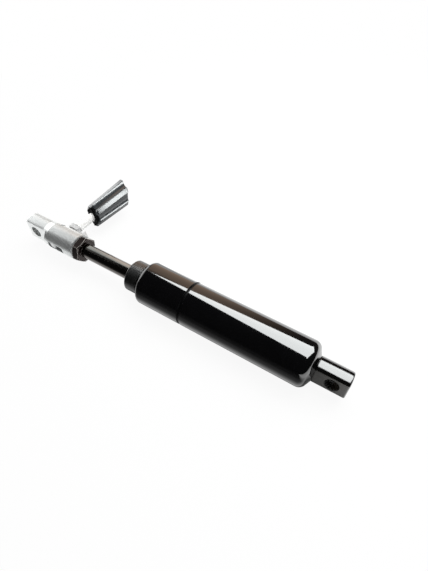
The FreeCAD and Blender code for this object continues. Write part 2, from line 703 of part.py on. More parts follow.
def make_rocker():
    """Rocker: a blade through the slot with a nose, a heel and an arm, and a block that carries the lever."""
    pivot = -size["lever_offset"]
    boss_r = pivot_r + size["pivot_wall"]
    heel = -size["heel_down"]
    bend = size["heel_radius"]
    heel_far = pivot - size["heel_back"]
    heel_near = pivot + size["heel_front"]
    nose = pivot + size["nose_along"]
    down = -size["nose_down"]
    nose_r = size["nose_radius"]
    lean = size["nose_lean"]
    front = pivot + size["blade_shoulder"]
    relief = nose + nose_r - size["nose_relief"]
    toe = size["toe_start"]
    toe_end = toe + size["toe_length"]
    arm = rocker_base + size["arm_depth"]
    body = lever_body("lever_rocker")
    blade = new_sketch(body, "blade_outline", "XY_Plane")
    blade.setExpression("AttachmentOffset.Base.z", (-size["slot_drop"]).formula)
    draw_outline(blade, [
        (pivot - size["blade_back"], arm), (pivot - boss_r, 0),
        (heel_far, heel + bend, heel_far + bend, heel + bend, 1), (heel_far + bend, heel),
        (heel_near - bend, heel, heel_near - bend, heel + bend, 1), (heel_near, heel + bend),
        (nose + nose_r * cosine(lean), down + nose_r * sine(lean), nose, down, 1), (nose + nose_r, down),
        (relief, down + size["nose_run"]), (front, down + size["nose_run"] * 2), (front, rocker_base),
        (toe_end, rocker_base), (toe_end, rocker_base + size["toe_tip"]),
        (toe, rocker_base + size["toe_rise"]), (toe, arm)])
    pad_both_ways(body, "blade", blade, size["slot_width"] - size["blade_clearance"] * 2)
    far = -size["block_far"]
    near = size["block_near"]
    corner = size["block_corner"]
    block = new_sketch(body, "block_outline", "XY_Plane")
    draw_outline(block, [
        (far, rocker_base), (near, rocker_base), (near, ring_base - corner), (near - corner, ring_base),
        (far + corner, ring_base), (far, ring_base - corner)])
    pad_both_ways(body, "block", block, size["rocker_height"])
    spigot_hole_r = lever_spigot_r + size["fixed_fit"]
    floor = ring_base - size["lever_spigot_depth"] - size["fixed_fit"]
    spin(body, "Groove", "lever_seat", [
        (0, floor), (spigot_hole_r, floor), (spigot_hole_r, ring_end), (0, ring_end)], "V_Axis")
    cut_hole(body, "pivot_hole", "XY_Plane", pivot, 0, pivot_r + size["running_fit"])
    return body


def make_lever():
    """Bright collar ring and lever rod."""
    hole_r = lever_spigot_r + size["fixed_fit"]
    ring = lever_body("lever_collar")
    spin(ring, "Revolution", "turning", [
        (hole_r, ring_base), (lever_ring_r, ring_base), (lever_ring_r, ring_end),
        (hole_r, ring_end)], "V_Axis")
    foot = ring_base - size["lever_spigot_depth"]
    end = grip_base + size["grip_bore_depth"]
    edge = size["lever_edge"]
    rod = lever_body("lever_rod")
    spin(rod, "Revolution", "turning", [
        (0, foot), (lever_spigot_r, foot), (lever_spigot_r, ring_end), (lever_r - edge, ring_end),
        (lever_r, ring_end + edge), (lever_r, end), (0, end)], "V_Axis")


def draw_lobes(sketch, radius, crest, edge, root):
    """A star of lobes with round-edged crests, joined by round flutes, each arc tangent to the next."""
    step = as_size(180 / LOBES)
    reach = radius - edge
    gap = cosine(step - crest)
    spread = reach * reach + root * root - reach * root * gap * 2 - edge * edge
    flute = spread / ((edge - root + reach * gap) * 2)
    far = root + flute
    share = edge / (edge + flute)
    corners = []
    for number in range(LOBES):
        turn = size["grip_turn"] + 360 / LOBES * number
        first, last, following = turn - crest, turn + crest, turn + step * 2 - crest
        valley_x, valley_y = far * cosine(turn + step), far * sine(turn + step)
        last_x, last_y = reach * cosine(last), reach * sine(last)
        next_x, next_y = reach * cosine(following), reach * sine(following)
        corners.append((radius * cosine(first), radius * sine(first), 0, 0, 1))
        corners.append((radius * cosine(last), radius * sine(last), last_x, last_y, 1))
        corners.append((last_x + (valley_x - last_x) * share, last_y + (valley_y - last_y) * share,
                        valley_x, valley_y, -1))
        corners.append((next_x + (valley_x - next_x) * share, next_y + (valley_y - next_y) * share,
                        next_x, next_y, 1))
    draw_outline(sketch, corners)


def cut_leaning_end(body, name, place, rise, outward):
    """Cut the grip's end with a leaning plane and round its rim, the lean seen square to a crest."""
    wide = size["grip_far_radius"] * 2
    turn = size["grip_turn"]
    away = place + wide * 2 * outward
    sketch = new_sketch(body, f"{name}_lean", "XY_Plane")
    about_lever = FreeCAD.Rotation(FreeCAD.Vector(0, 1, 0), 1)
    sketch.AttachmentOffset = FreeCAD.Placement(FreeCAD.Vector(), about_lever)
    sketch.setExpression("AttachmentOffset.Rotation.Angle", (-turn + 90).formula)
    draw_outline(sketch, [
        (-wide, place + wide * rise), (wide, place - wide * rise), (wide, away), (-wide, away)])
    cut_through(body, f"{name}_end", sketch)
    side_x, side_z = sine(turn).value, -cosine(turn).value

    def on_rim(edge):
        spots = [edge.valueAt(edge.FirstParameter), edge.valueAt(edge.LastParameter), edge.CenterOfMass]
        heights = [spot.y + rise.value * (spot.x * side_x + spot.z * side_z) - place.value for spot in spots]
        return max(abs(height) for height in heights) < 1e-4
    round_edges(body, f"{name}_rim", size[f"grip_{name}_edge"] * 0.5, on_rim)


def make_grip():
    """Tapered grip with lobes, lofted between two sections and cut off leaning at both ends."""
    end = grip_base + size["grip_length"]
    near_rise, far_rise = slope(size["grip_near_slant"]), slope(size["grip_far_slant"])
    start = grip_base - size["grip_near_radius"] * near_rise
    finish = end + size["grip_far_radius"] * far_rise
    body = lever_body("grip")
    sections = []
    for name, place in (("near", start), ("far", finish)):
        section = new_sketch(body, f"{name}_section", "XZ_Plane")
        section.setExpression("AttachmentOffset.Base.z", (-place).formula)
        draw_lobes(section, size[f"grip_{name}_radius"], size[f"grip_{name}_crest"],
                   size[f"grip_{name}_edge"], lever_r + size[f"grip_{name}_wall"])
        sections.append(section)
    doc.recompute()
    loft = body.newObject("PartDesign::AdditiveLoft", "grip_loft")
    loft.Profile = sections[0]
    loft.Sections = [sections[1]]
    loft.Ruled = True
    body.Tip = loft
    doc.recompute()
    cut_leaning_end(body, "near", grip_base, near_rise, -1)
    cut_leaning_end(body, "far", end, far_rise, 1)
    bore_r_grip = lever_r + size["fixed_fit"]
    floor = grip_base + size["grip_bore_depth"] + size["fixed_fit"]
    spin(body, "Groove", "lever_bore", [
        (0, start - 1), (bore_r_grip, start - 1), (bore_r_grip, floor), (0, floor)], "V_Axis")
    return body


def check_document():
    """Stop if a feature failed or a body's shape isn't one valid solid."""
    doc.recompute()
    failed = [item.Name for item in doc.Objects if "Invalid" in item.State or "Error" in item.State]
    if failed:
        raise RuntimeError(f"failed features: {failed}")
    bodies = [item for item in doc.Objects if item.isDerivedFrom("PartDesign::Body")]
    for body in bodies:
        shape = body.Shape
        if shape.isNull() or not shape.isValid() or len(shape.Solids) != 1:
            raise RuntimeError(f"{body.Label} isn't one valid solid")
    return bodies


def write_parts(bodies):
    """Write one STEP file for each piece."""
    os.makedirs("parts", exist_ok=True)
    for body in bodies:
        body.Shape.exportStep(f"parts/{body.Label}.step")
        print(f"{body.Label}: {body.Shape.Volume:.1f} mm3")


make_tube()
make_eye()
make_guide()
make_seal_pack()
make_rod()
make_piston()
make_valve()
make_separator()
make_nut()
make_head()
make_pivot()
make_rocker()
make_lever()
make_grip()
write_parts(check_document())
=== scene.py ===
"""Looks of the lockable gas spring: finishes for every piece, floor, softbox light and the
photograph's camera."""
import json
from math import cos, radians, sin, tan

import bmesh
import bpy
from mathutils import Matrix, Vector


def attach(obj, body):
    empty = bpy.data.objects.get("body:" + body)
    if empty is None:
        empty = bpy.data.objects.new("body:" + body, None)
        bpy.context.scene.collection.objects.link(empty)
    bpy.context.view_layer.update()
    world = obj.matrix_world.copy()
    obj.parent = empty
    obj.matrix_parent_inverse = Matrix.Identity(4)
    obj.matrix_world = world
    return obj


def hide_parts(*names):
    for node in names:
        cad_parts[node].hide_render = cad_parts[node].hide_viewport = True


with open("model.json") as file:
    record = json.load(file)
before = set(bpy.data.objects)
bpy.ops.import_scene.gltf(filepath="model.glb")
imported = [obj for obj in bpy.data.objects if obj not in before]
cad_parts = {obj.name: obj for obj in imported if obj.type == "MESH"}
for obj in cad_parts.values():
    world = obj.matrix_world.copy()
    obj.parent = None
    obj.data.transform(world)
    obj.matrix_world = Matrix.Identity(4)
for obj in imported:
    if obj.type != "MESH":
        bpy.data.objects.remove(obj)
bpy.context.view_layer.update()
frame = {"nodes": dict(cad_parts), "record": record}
nodes = frame["nodes"]

MM = 0.001
FLOOR_HEIGHT = -14 * MM

# Places on the part, in millimetres from the middle of the rear eye's bore.
GROOVE_PLACE, GROOVE_HALF_WIDTH = -92.2, 0.85
EYE_BORE_RADIUS, EYE_FLAT = 4.1, 5.5
EYE_TURN = radians(8)
LEVER_ROOT = (-198.0, 4.91, 0.0)
LEVER_LEAN = radians(1.8)

# The softbox's cloth, in metres.
SOFTBOX_WIDTH, SOFTBOX_LENGTH = 0.62, 0.80


def linear(code):
    """An sRGB hex colour as linear RGBA."""
    channels = [int(code[place:place + 2], 16) / 255 for place in (1, 3, 5)]
    return [c / 12.92 if c <= 0.04045 else ((c + 0.055) / 1.055) ** 2.4 for c in channels] + [1.0]


def across(size_mm):
    """Texture scale whose features are about that many millimetres wide."""
    return 1 / (size_mm * MM)


def add(tree, kind, inputs=None, **settings):
    """Add a node, set it up, and fill or link its sockets."""
    node = tree.nodes.new(kind)
    for name, value in settings.items():
        setattr(node, name, value)
    for name, value in (inputs or {}).items():
        if isinstance(value, bpy.types.NodeSocket):
            tree.links.new(value, node.inputs[name])
        else:
            node.inputs[name].default_value = value
    return node


def new_finish(name):
    """An empty material with its object coordinates."""
    material = bpy.data.materials.new(name)
    material.use_nodes = True
    material.node_tree.nodes.clear()
    place = add(material.node_tree, "ShaderNodeTexCoord").outputs["Object"]
    return material, material.node_tree, place


def close_finish(tree, inputs):
    """The surface shader and the output that ends a material."""
    surface = add(tree, "ShaderNodeBsdfPrincipled", inputs)
    add(tree, "ShaderNodeOutputMaterial", {"Surface": surface.outputs["BSDF"]})


def mottle(tree, vector, scale, detail, colours, roughness):
    """Cloudy unevenness that carries a finish from one colour and roughness to the other. Gives the
    cloud, the colour and the roughness."""
    cloud = add(tree, "ShaderNodeTexNoise", {"Vector": vector, "Scale": scale, "Detail": detail})
    colour = add(tree, "ShaderNodeMix", {"Factor": cloud.outputs["Fac"], "A": linear(colours[0]),
                                         "B": linear(colours[1])}, data_type="RGBA")
    rough = add(tree, "ShaderNodeMapRange", {"Value": cloud.outputs["Fac"],
                                             "To Min": roughness[0], "To Max": roughness[1]})
    return cloud.outputs["Fac"], colour.outputs["Result"], rough.outputs["Result"]


def drawn_out(tree, place, x_mm, y_mm, z_mm):
    """Coordinates for marks of those sizes along the three axes."""
    squeeze = add(tree, "ShaderNodeMapping", {"Vector": place, "Scale": (
        across(x_mm), across(y_mm), across(z_mm))})
    return squeeze.outputs["Vector"]


def round_y_axis(tree, vector):
    """How far a place lies along the Y axis, and how far from it."""
    spot = add(tree, "ShaderNodeSeparateXYZ", {"Vector": vector})
    ring = add(tree, "ShaderNodeCombineXYZ", {"X": spot.outputs["X"], "Z": spot.outputs["Z"]})
    reach = add(tree, "ShaderNodeVectorMath", {0: ring.outputs["Vector"]}, operation="LENGTH")
    return spot.outputs["Y"], reach.outputs["Value"]


def edge_wear(tree, radius_mm, place, rubbed=0.8):
    """Rounded normal of a sharp edge, and how far it turns from the flat: 0 on a face and 1 on a
    rubbed edge. Rubbed is the cosine at which the wear is full. Chips move the line where the wear
    begins, from close to the flat to half way."""
    softened = add(tree, "ShaderNodeBevel", {"Radius": radius_mm * MM}, samples=6).outputs["Normal"]
    flat = add(tree, "ShaderNodeNewGeometry").outputs["Normal"]
    along = add(tree, "ShaderNodeVectorMath", {0: softened, 1: flat}, operation="DOT_PRODUCT")
    chips = add(tree, "ShaderNodeTexNoise", {"Vector": place, "Scale": across(0.9), "Detail": 4.0})
    broken = add(tree, "ShaderNodeMapRange", {
        "Value": chips.outputs["Fac"], "From Min": 0.3, "From Max": 0.7,
        "To Min": 1 - 0.075 * (1 - rubbed), "To Max": 1 - 0.5 * (1 - rubbed)})
    worn = add(tree, "ShaderNodeMapRange", {
        "Value": along.outputs["Value"], "From Min": broken.outputs["Result"], "From Max": rubbed})
    return softened, worn.outputs["Result"]


def gloss_black_paint():
    """Stoved gloss black paint on the tube: deep black and mirror-like, with a faint orange peel and
    dust nibs. In the rolled groove it is rougher and its reflection is turned down, a painted shade."""
    material, tree, place = new_finish("gloss_black_paint")
    cloud = add(tree, "ShaderNodeTexNoise", {"Vector": place, "Scale": across(9), "Detail": 3.0})
    colour = add(tree, "ShaderNodeMix", {"Factor": cloud.outputs["Fac"], "A": linear("#040405"),
                                         "B": linear("#0a0a0b")}, data_type="RGBA")
    specks = add(tree, "ShaderNodeTexNoise", {"Vector": place, "Scale": across(0.7), "Detail": 2.0})
    smooth = add(tree, "ShaderNodeMapRange", {
        "Value": specks.outputs["Fac"], "From Min": 0.35, "From Max": 0.75,
        "To Min": 0.05, "To Max": 0.1})
    spot = add(tree, "ShaderNodeSeparateXYZ", {"Vector": place})
    # Painted shade in the rolled groove: the paint there is rougher and its reflection level drops to
    # 0.06.
    groove = add(tree, "ShaderNodeMath", {0: spot.outputs["X"], 1: GROOVE_PLACE * MM,
                                          2: GROOVE_HALF_WIDTH * MM}, operation="COMPARE")
    rough = add(tree, "ShaderNodeMix", {"Factor": groove.outputs["Value"],
                                        "A": smooth.outputs["Result"], "B": 0.3})
    sheen = add(tree, "ShaderNodeMapRange", {"Value": groove.outputs["Value"],
                                             "To Min": 0.5, "To Max": 0.06})
    peel = add(tree, "ShaderNodeTexNoise", {"Vector": place, "Scale": across(2.4), "Detail": 1.0})
    nibs = add(tree, "ShaderNodeTexVoronoi", {"Vector": place, "Scale": across(11)})
    nib = add(tree, "ShaderNodeMapRange", {"Value": nibs.outputs["Distance"],
                                           "From Min": 0.035, "From Max": 0.0})
    skin = add(tree, "ShaderNodeMath", {0: nib.outputs["Result"], 1: 2.0, 2: peel.outputs["Fac"]},
               operation="MULTIPLY_ADD")
    bump = add(tree, "ShaderNodeBump", {"Height": skin.outputs["Value"], "Strength": 0.5,
                                        "Distance": 0.0025 * MM})
    close_finish(tree, {"Base Color": colour.outputs["Result"], "Roughness": rough.outputs["Result"],
                        "Specular IOR Level": sheen.outputs["Result"],
                        "Normal": bump.outputs["Normal"], "IOR": 1.5})
    return material


def eye_black_paint():
    """The same paint on the eye: glossy on the turned back, matt and speckled on the milled flats,
    and painted shade in the bore, a darker black with a dull rough finish."""
    material, tree, place = new_finish("eye_black_paint")
    turned = add(tree, "ShaderNodeMapping", {"Vector": place, "Rotation": (EYE_TURN, 0, 0)})
    height, reach = round_y_axis(tree, turned.outputs["Vector"])
    # Painted shade in the bore: a darker black there, and a dull rough finish.
    bore_shade = add(tree, "ShaderNodeMapRange", {
        "Value": reach, "From Min": (EYE_BORE_RADIUS + 0.2) * MM, "From Max": EYE_BORE_RADIUS * MM})
    side = add(tree, "ShaderNodeMath", {0: height}, operation="ABSOLUTE")
    flat = add(tree, "ShaderNodeMapRange", {
        "Value": side.outputs["Value"], "From Min": (EYE_FLAT - 0.1) * MM, "From Max": EYE_FLAT * MM})
    grain = add(tree, "ShaderNodeTexNoise", {"Vector": place, "Scale": across(0.5), "Detail": 4.0,
                                             "Roughness": 0.7})
    milled = add(tree, "ShaderNodeMix", {"Factor": grain.outputs["Fac"], "A": linear("#1f1e1b"),
                                         "B": linear("#3d3c38")}, data_type="RGBA")
    outside = add(tree, "ShaderNodeMix", {"Factor": flat.outputs["Result"], "A": linear("#060606"),
                                          "B": milled.outputs["Result"]}, data_type="RGBA")
    colour = add(tree, "ShaderNodeMix", {"Factor": bore_shade.outputs["Result"],
                                         "A": outside.outputs["Result"],
                                         "B": linear("#040404")}, data_type="RGBA")
    matt = add(tree, "ShaderNodeMapRange", {
        "Value": grain.outputs["Fac"], "From Min": 0.3, "From Max": 0.7,
        "To Min": 0.42, "To Max": 0.58})
    skin = add(tree, "ShaderNodeMix", {"Factor": flat.outputs["Result"], "A": 0.1,
                                       "B": matt.outputs["Result"]})
    rough = add(tree, "ShaderNodeMix", {"Factor": bore_shade.outputs["Result"],
                                        "A": skin.outputs["Result"], "B": 0.85})
    depth = add(tree, "ShaderNodeMath", {0: flat.outputs["Result"], 1: grain.outputs["Fac"]},
                operation="MULTIPLY")
    soft, _ = edge_wear(tree, 0.7, place)
    bump = add(tree, "ShaderNodeBump", {"Height": depth.outputs["Value"], "Strength": 0.4,
                                        "Distance": 0.02 * MM, "Normal": soft})
    close_finish(tree, {"Base Color": colour.outputs["Result"], "Roughness": rough.outputs["Result"],
                        "Normal": bump.outputs["Normal"], "IOR": 1.5})
    return material


def matt_black_guide():
    """Turned guide with a matt black oxide coat: a soft sheen, turning rings and a pale rubbed rim.
    The tool's real feed is too fine to show, so the rings are drawn about 2 mm apart."""
    material, tree, place = new_finish("matt_black_guide")
    rings = add(tree, "ShaderNodeTexWave", {"Vector": place, "Scale": across(6.0),
                                            "Distortion": 0.4, "Detail": 2.0},
                wave_type="BANDS", bands_direction="X")
    _, coat, rough = mottle(tree, place, across(1.2), 4.0, ("#070707", "#111111"), (0.27, 0.34))
    soft, worn = edge_wear(tree, 0.2, place)
    colour = add(tree, "ShaderNodeMix", {"Factor": worn, "A": coat, "B": linear("#1d1d1c")},
                 data_type="RGBA")
    bump = add(tree, "ShaderNodeBump", {"Height": rings.outputs["Fac"], "Strength": 0.3,
                                        "Distance": 0.006 * MM, "Normal": soft})
    close_finish(tree, {"Base Color": colour.outputs["Result"], "Roughness": rough,
                        "Normal": bump.outputs["Normal"], "IOR": 1.5})
    return material


def nitrided_rod():
    """Black nitrided steel, ground and polished: glossy, with grinding rings round the rod. The
    wheel's real marks are too fine to show, so the rings are drawn about half a millimetre wide."""
    material, tree, place = new_finish("nitrided_rod")
    rings, colour, rough = mottle(tree, drawn_out(tree, place, 0.5, 8, 8), 1.0, 3.0,
                                  ("#55524f", "#686461"), (0.1, 0.2))
    bump = add(tree, "ShaderNodeBump", {"Height": rings, "Strength": 0.1, "Distance": 0.004 * MM})
    close_finish(tree, {"Base Color": colour, "Metallic": 1.0, "Roughness": rough,
                        "Normal": bump.outputs["Normal"]})
    return material


def black_oxide_nut():
    """Blackened steel nut: oily brownish black, glossy, with edges rubbed paler by the spanner."""
    material, tree, place = new_finish("black_oxide_nut")
    patches, oxide, rough = mottle(tree, place, across(2.5), 5.0, ("#070404", "#120b0a"),
                                   (0.1, 0.18))
    soft, worn = edge_wear(tree, 0.45, place, rubbed=0.95)
    colour = add(tree, "ShaderNodeMix", {"Factor": worn, "A": oxide, "B": linear("#c9c4bf")},
                 data_type="RGBA")
    bump = add(tree, "ShaderNodeBump", {"Height": patches, "Strength": 0.3,
                                        "Distance": 0.008 * MM, "Normal": soft})
    close_finish(tree, {"Base Color": colour.outputs["Result"], "Roughness": rough,
                        "Specular IOR Level": 0.32, "Specular Tint": linear("#ffe8e2"),
                        "Normal": bump.outputs["Normal"], "IOR": 1.55})
    return material


def turned_aluminium(name, dark, light, bare):
    """Turned and milled aluminium, matt anodised: an even pale grey, since the oxide skin scatters
    most of the light, with faint turning rings and brighter bruised edges. Bare is how far the metal
    shows through the skin. The rings are drawn coarser than real ones, which are too fine to show."""
    material, tree, place = new_finish(name)
    marks = add(tree, "ShaderNodeTexNoise", {"Vector": drawn_out(tree, place, 0.35, 5, 5),
                                             "Scale": 1.0, "Detail": 3.0})
    cloud = add(tree, "ShaderNodeTexNoise", {"Vector": place, "Scale": across(3.0), "Detail": 4.0})
    soft, worn = edge_wear(tree, 0.2, place)
    skin = add(tree, "ShaderNodeMix", {"Factor": cloud.outputs["Fac"], "A": linear(dark),
                                       "B": linear(light)}, data_type="RGBA")
    colour = add(tree, "ShaderNodeMix", {"Factor": worn, "A": skin.outputs["Result"],
                                         "B": linear("#e9e9e7")}, data_type="RGBA")
    rough = add(tree, "ShaderNodeMapRange", {"Value": marks.outputs["Fac"],
                                             "To Min": 0.26, "To Max": 0.36})
    bump = add(tree, "ShaderNodeBump", {"Height": marks.outputs["Fac"], "Strength": 0.35,
                                        "Distance": 0.01 * MM, "Normal": soft})
    close_finish(tree, {"Base Color": colour.outputs["Result"], "Metallic": bare,
                        "Roughness": rough.outputs["Result"], "Normal": bump.outputs["Normal"]})
    return material


def zinc_with_painted_reflection():
    """Zinc plated steel of the lever, its collar ring and the pins: satin, drawn along the lever, and
    near white, which is partly the plating's pale tone and partly a painted reflection of the bright
    room."""
    material, tree, place = new_finish("zinc_with_painted_reflection")
    # The near-white colours are partly a painted reflection of the bright room, in place of a
    # mirroring metal.
    drawn, colour, rough = mottle(tree, drawn_out(tree, place, 0.6, 6, 0.6), 1.0, 3.0,
                                  ("#f3f3f1", "#f8f8f6"), (0.42, 0.52))
    bump = add(tree, "ShaderNodeBump", {"Height": drawn, "Strength": 0.1, "Distance": 0.001 * MM})
    close_finish(tree, {"Base Color": colour, "Metallic": 0.12, "Roughness": rough,
                        "Normal": bump.outputs["Normal"]})
    return material


def moulded_grip():
    """Moulded black nylon grip: charcoal and satin, with a spark-eroded grain, and painted shade on
    the boss round the lever, dead black and dull. The grain is drawn coarser than a real one, which
    is too fine to show."""
    material, tree, place = new_finish("moulded_grip")
    boss_radius, middle = 6.55, 40
    grain = add(tree, "ShaderNodeTexNoise", {"Vector": place, "Scale": across(0.35), "Detail": 3.0})
    _, skin, smooth = mottle(tree, place, across(5), 2.0, ("#2a2e30", "#363a3c"), (0.18, 0.26))
    lever = add(tree, "ShaderNodeMapping", {"Vector": place, "Location": Vector(LEVER_ROOT) * MM,
                                            "Rotation": (0, 0, -LEVER_LEAN)}, vector_type="TEXTURE")
    along, reach = round_y_axis(tree, lever.outputs["Vector"])
    # Painted shade on the recessed boss at the near end: dead black, rough, with its reflection
    # turned down.
    inner = add(tree, "ShaderNodeMapRange", {
        "Value": reach, "From Min": (boss_radius + 0.1) * MM, "From Max": boss_radius * MM})
    near_half = add(tree, "ShaderNodeMath", {0: along, 1: middle * MM}, operation="LESS_THAN")
    boss = add(tree, "ShaderNodeMath", {0: inner.outputs["Result"], 1: near_half.outputs["Value"]},
               operation="MULTIPLY")
    colour = add(tree, "ShaderNodeMix", {"Factor": boss.outputs["Value"], "A": skin,
                                         "B": linear("#050505")}, data_type="RGBA")
    rough = add(tree, "ShaderNodeMix", {"Factor": boss.outputs["Value"], "A": smooth, "B": 0.8})
    sheen = add(tree, "ShaderNodeMapRange", {"Value": boss.outputs["Value"],
                                             "To Min": 0.5, "To Max": 0.1})
    bump = add(tree, "ShaderNodeBump", {"Height": grain.outputs["Fac"], "Strength": 0.1,
                                        "Distance": 0.002 * MM})
    close_finish(tree, {"Base Color": colour.outputs["Result"], "Roughness": rough.outputs["Result"],
                        "Specular IOR Level": sheen.outputs["Result"],
                        "Normal": bump.outputs["Normal"], "IOR": 1.53})
    return material


def nitrile_rubber():
    """Black nitrile rubber of the seals: matt, with a bloom of talc."""
    material, tree, place = new_finish("nitrile_rubber")
    _, colour, rough = mottle(tree, place, across(1.0), 4.0, ("#0e0e0e", "#1e1e1d"), (0.6, 0.8))
    close_finish(tree, {"Base Color": colour, "Roughness": rough, "IOR": 1.52})
    return material


def sintered_bronze():
    """Sintered bronze bush: brown-gold, matt and porous."""
    material, tree, place = new_finish("sintered_bronze")
    pores = add(tree, "ShaderNodeTexVoronoi", {"Vector": place, "Scale": across(0.3)})
    colour = add(tree, "ShaderNodeMix", {"Factor": pores.outputs["Distance"], "A": linear("#7d5a30"),
                                         "B": linear("#b98a4c")}, data_type="RGBA")
    bump = add(tree, "ShaderNodeBump", {"Height": pores.outputs["Distance"], "Strength": 0.4,
                                        "Distance": 0.02 * MM})
    close_finish(tree, {"Base Color": colour.outputs["Result"], "Metallic": 1.0, "Roughness": 0.5,
                        "Normal": bump.outputs["Normal"]})
    return material


def natural_plastic():
    """Natural acetal of the sleeve and the guide band: ivory, waxy."""
    material, tree, place = new_finish("natural_acetal")
    _, colour, rough = mottle(tree, place, across(4), 3.0, ("#d8d5c8", "#e8e5da"), (0.32, 0.45))
    close_finish(tree, {"Base Color": colour, "Roughness": rough, "IOR": 1.48})
    return material


def dress_nodes():
    """Give every piece its finish by the record's slot."""
    finishes = {
        "tube_black": gloss_black_paint(),
        "eye_black": eye_black_paint(),
        "guide_black": matt_black_guide(),
        "rod_black": nitrided_rod(),
        "nut_black": black_oxide_nut(),
        "head_aluminium": turned_aluminium("anodised_head", "#bcbfbf", "#cccecd", 0.65),
        "inner_aluminium": turned_aluminium("turned_piston", "#bcbdbd", "#cdcecd", 0.65),
        "rocker_aluminium": turned_aluminium("milled_rocker", "#c0c1c2", "#cecfcf", 0.2),
        "bright_steel": zinc_with_painted_reflection(),
        "bronze": sintered_bronze(),
        "inner_plastic": natural_plastic(),
        "grip_black": moulded_grip(),
        "seal_rubber": nitrile_rubber(),
    }
    for part in frame["record"]["subparts"]:
        nodes[part["node"]].material_slots[0].material = finishes[part["material_slot"]]


def make_piece(name, shape, finish):
    """Put a finished shape into the scene as a piece."""
    mesh = bpy.data.meshes.new(name)
    shape.to_mesh(mesh)
    shape.free()
    mesh.materials.append(finish)
    piece = bpy.data.objects.new(name, mesh)
    bpy.context.scene.collection.objects.link(piece)
    return piece


def fluted_grip():
    """Moulded grip with six flat crests and shallow flutes, wider towards its end and cut off
    leaning at both ends, with a short boss round the lever at the near one. It is drawn upright in
    millimetres from the lever's axis beside its pivot, and then laid along the lever."""
    start, finish = 22.0, 61.5
    near_radius, far_radius = 8.12, 9.88
    lobes, first_lobe = 6, 45
    boss_rim, boss_length = 2.2, 2.2
    # Half a flute: degrees from a crest's middle, and the share of the crest's radius there.
    half = ((9.7, 1.0), (11.7, 0.939), (18.0, 0.87), (24.0, 0.836), (30.0, 0.827))
    lobe = half + tuple((360 / lobes - turn, share) for turn, share in reversed(half[:-1]))
    # Each end: where it cuts the axis, its slant in degrees, its rim's rounding and the way it
    # faces.
    ends = ((24.9, 16, 0.2, -1), (55.8, 26, 0.8, 1))

    shape = bmesh.new()
    outline = []
    for number in range(lobes):
        for turn, share in lobe:
            way, radius = radians(first_lobe + 360 / lobes * number + turn), near_radius * share
            outline.append(shape.verts.new((radius * cos(way), radius * sin(way), start)))
    base = bmesh.ops.contextual_create(shape, geom=outline)["faces"]
    grown = bmesh.ops.extrude_face_region(shape, geom=base, use_keep_orig=True)["geom"]
    top = [item for item in grown if isinstance(item, bmesh.types.BMVert)]
    taper = far_radius / near_radius
    bmesh.ops.scale(shape, verts=top, vec=(taper, taper, 1))
    bmesh.ops.translate(shape, verts=top, vec=(0, 0, finish - start))
    for place, slant, rim, outward in ends:
        lean = tan(radians(slant)) * sin(radians(first_lobe))
        cut = bmesh.ops.bisect_plane(
            shape, geom=shape.verts[:] + shape.edges[:] + shape.faces[:], plane_co=(0, 0, place),
            plane_no=(-lean * outward, lean * outward, outward), clear_outer=True)["geom_cut"]
        edges = [item for item in cut if isinstance(item, bmesh.types.BMEdge)]
        face = bmesh.ops.holes_fill(shape, edges=edges)["faces"]
        if outward < 0:
            bmesh.ops.inset_region(shape, faces=face, thickness=boss_rim)
            bmesh.ops.translate(shape, verts=face[0].verts, vec=(0, 0, -boss_length))
        bmesh.ops.bevel(shape, geom=edges, offset=rim, segments=3, profile=0.5, affect="EDGES",
                        material=-1)
    bmesh.ops.recalc_face_normals(shape, faces=shape.faces)
    for face in shape.faces:
        face.smooth = True
    for edge in shape.edges:
        edge.smooth = edge.calc_face_angle(0) < radians(25)
    root_x, root_y, root_z = LEVER_ROOT
    along_lever = Matrix(((0, cos(LEVER_LEAN), sin(LEVER_LEAN), root_x),
                          (0, -sin(LEVER_LEAN), cos(LEVER_LEAN), root_y),
                          (1, 0, 0, root_z), (0, 0, 0, 1)))
    bmesh.ops.transform(shape, verts=shape.verts, matrix=Matrix.Scale(MM, 4) @ along_lever)
    piece = make_piece("fluted_grip", shape, nodes["grip"].material_slots[0].material)
    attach(piece, "lever")
    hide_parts("grip")
    return piece


def ray_kinds(tree):
    """Whether a ray comes from the camera, and whether it comes off or through gloss."""
    rays = add(tree, "ShaderNodeLightPath").outputs
    gloss = add(tree, "ShaderNodeMath", {0: rays["Is Glossy Ray"], 1: rays["Is Transmission Ray"]},
                operation="MAXIMUM")
    return rays["Is Camera Ray"], gloss.outputs["Value"]


